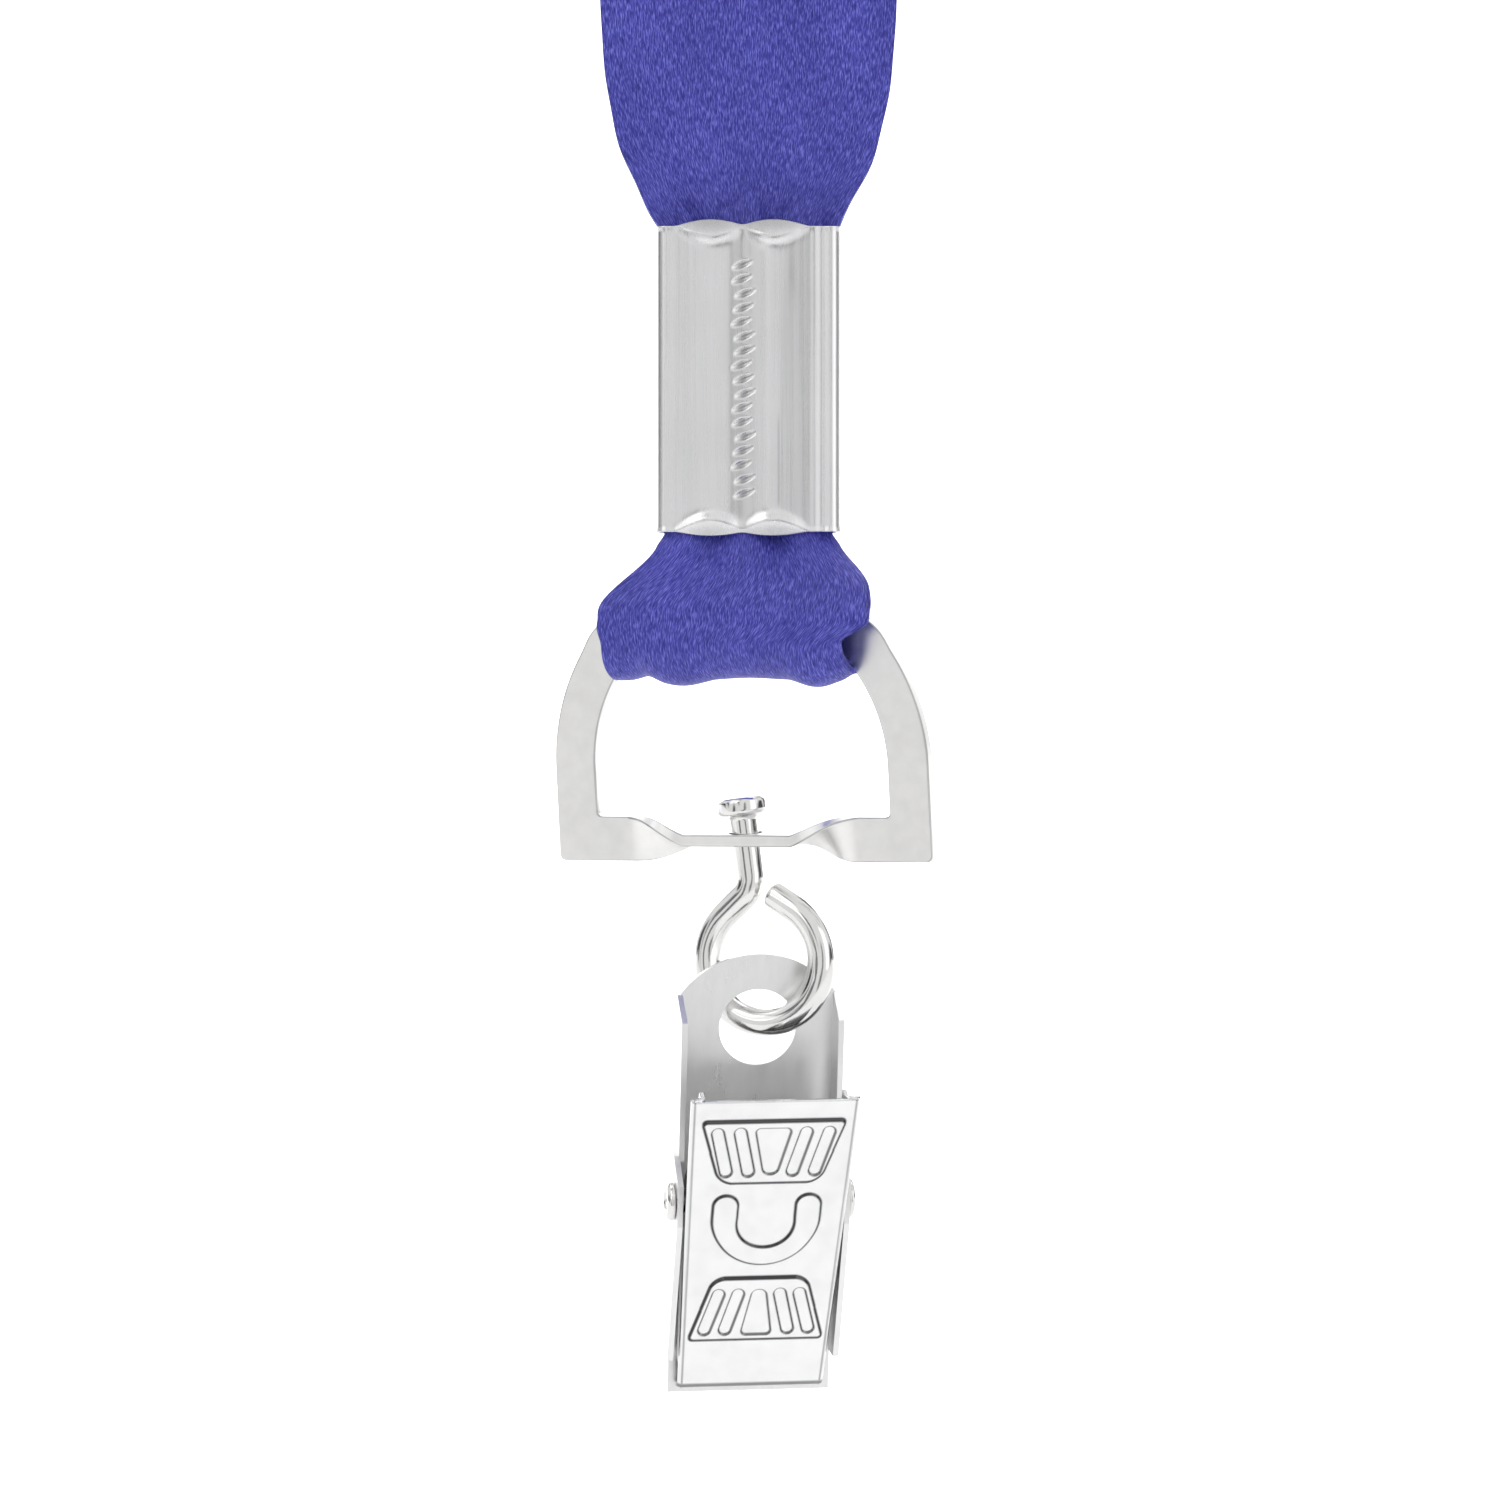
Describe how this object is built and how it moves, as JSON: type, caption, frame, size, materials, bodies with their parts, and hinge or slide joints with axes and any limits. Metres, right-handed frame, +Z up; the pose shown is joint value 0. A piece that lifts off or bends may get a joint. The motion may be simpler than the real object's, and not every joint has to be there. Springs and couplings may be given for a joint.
{
  "type": "lanyard badge holder",
  "caption": "Neck lanyard of satin ribbon gathered in a metal crimp, with a stirrup, a swivel wire hook and a sprung badge clip.",
  "frame": {"origin": "the neck mount, at the top of the ribbon's loop where it hangs", "axes": "+Z up along the hanging lanyard, +X to the right across the ribbon, -Y towards the front face of the clip"},
  "size_m": [0.0255, 0.1486, 0.4685],
  "materials": {
    "satin_ribbon": "satin weave with fine lengthwise threads",
    "crimp_metal": "brushed along its length",
    "stirrup_nickel": "bright nickel plate",
    "wire_nickel": "bright nickel plate",
    "clip_nickel": "bright nickel plate, lightly embossed",
    "rivet_nickel": "bright nickel plate",
    "spring_steel": "drawn spring wire"
  },
  "bodies": {
    "lanyard": {"strap_neck_loop": "satin_ribbon", "strap_crimped_plies": "satin_ribbon", "crimp_ferrule": "crimp_metal", "strap_inner_fold": "satin_ribbon", "strap_outer_fold": "satin_ribbon"},
    "stirrup": {"stirrup": "stirrup_nickel"},
    "hook": {"hook_wire": "wire_nickel"},
    "clip_back": {"clip_back_plate": "clip_nickel", "pivot_rivet": "rivet_nickel", "spring_coil": "spring_steel"},
    "clip_front": {"clip_front_plate": "clip_nickel", "spring_front_leg": "spring_steel"}
  },
  "joints": [
    {"name": "stirrup_swing", "type": "hinge", "parent": "lanyard", "child": "stirrup", "pos_m": [-0.0008, 0, -0.4178], "axis": [0.891, -0.454, 0], "range_deg": [-70, 70]},
    {"name": "hook_swivel", "type": "hinge", "parent": "stirrup", "child": "hook", "pos_m": [-0.00017, 0.00124, -0.43103], "axis": [-0.1219, 0, 0.9925], "continuous": true},
    {"name": "clip_turn", "type": "hinge", "parent": "hook", "child": "clip_back", "pos_m": [0.0006, 0.00135, -0.4436], "axis": [0, 0, 1], "range_deg": [0, 105]},
    {"name": "jaw_open", "type": "hinge", "parent": "clip_back", "child": "clip_front", "pos_m": [0.00076, 0.00134, -0.4551], "axis": [-0.9847, -0.1736, -0.0138], "range_deg": [0, 28], "stiffness_Nm_per_rad": 0.01, "springref_deg": -34.38}
  ]
}
